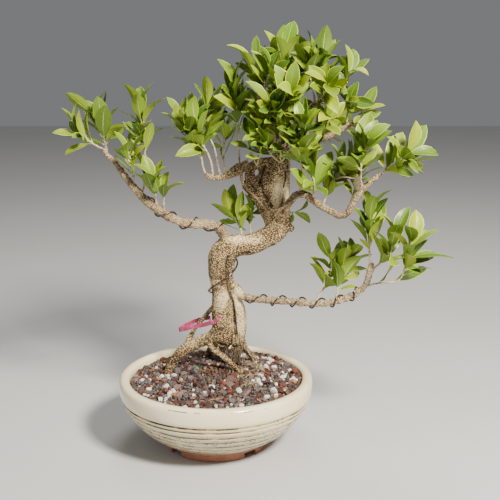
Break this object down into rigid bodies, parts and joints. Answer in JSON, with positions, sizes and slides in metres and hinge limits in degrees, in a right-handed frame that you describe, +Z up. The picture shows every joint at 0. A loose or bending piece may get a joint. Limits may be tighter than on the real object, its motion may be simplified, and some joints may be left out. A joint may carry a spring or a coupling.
{
  "type": "bonsai tree in a pot",
  "caption": "Small ficus bonsai with a curved trunk on exposed roots, wired side branches and a leafy crown, planted in gravel in a round glazed pot on a cut foot ring.",
  "frame": {"origin": "on the table, under the middle of the whole model's box", "axes": "+Z up along the tree's height, +X to the viewer's right along the tree's spread, +Y to the back"},
  "size_m": [0.4274, 0.22, 0.4741],
  "materials": {
    "glaze": "cream ash glaze over throwing ridges, glossy, with an unglazed terracotta foot ring",
    "gravel": "mixed dry grains of lava, pumice, clay and bark",
    "trunk_bark": "living bark, brown with dense pale pores, matte",
    "branch_bark": "younger living bark, pale and flecked, matte",
    "leaves": "living leaves, leathery and waxy, on thin woody twigs",
    "training_wire": "dark anodised",
    "tag_plastic": "pink, satin",
    "mesh_plastic": "black, matte",
    "staple_wire": "brown anodised",
    "pellet": "coated fertiliser, satin"
  },
  "bodies": {
    "root": {"branch_back": "branch_bark", "branch_crown_left": "branch_bark", "branch_crown_right": "branch_bark", "branch_left": "branch_bark", "branch_left_top": "branch_bark", "branch_right": "branch_bark", "branch_top": "branch_bark", "branch_upper_right": "branch_bark", "drain_mesh": "mesh_plastic", "fertiliser_pellet": "pellet", "label_band": "tag_plastic", "mesh_staple": "staple_wire", "pot": "glaze", "shoot_back_a": "leaves", "shoot_back_b": "leaves", "shoot_back_c": "leaves", "shoot_back_d": "leaves", "shoot_back_e": "leaves", "shoot_cl_a": "leaves", "shoot_cl_b": "leaves", "shoot_cl_c": "leaves", "shoot_cl_d": "leaves", "shoot_cl_e": "leaves", "shoot_cl_f": "leaves", "shoot_cr_a": "leaves", "shoot_cr_b": "leaves", "shoot_cr_c": "leaves", "shoot_cr_d": "leaves", "shoot_cr_e": "leaves", "shoot_left_a": "leaves", "shoot_left_b": "leaves", "shoot_left_c": "leaves", "shoot_left_d": "leaves", "shoot_left_e": "leaves", "shoot_left_f": "leaves", "shoot_low_a": "leaves", "shoot_low_b": "leaves", "shoot_low_c": "leaves", "shoot_mid_a": "leaves", "shoot_mid_b": "leaves", "shoot_mid_c": "leaves", "shoot_mid_d": "leaves", "shoot_mid_e": "leaves", "shoot_right_a": "leaves", "shoot_right_b": "leaves", "shoot_right_c": "leaves", "shoot_right_d": "leaves", "shoot_right_e": "leaves", "shoot_top_a": "leaves", "shoot_top_b": "leaves", "shoot_top_c": "leaves", "shoot_top_d": "leaves", "shoot_top_e": "leaves", "shoot_ur_a": "leaves", "shoot_ur_b": "leaves", "shoot_ur_c": "leaves", "soil": "gravel", "trunk": "trunk_bark", "wire_left": "training_wire", "wire_trunk": "training_wire"}
  },
  "joints": []
}
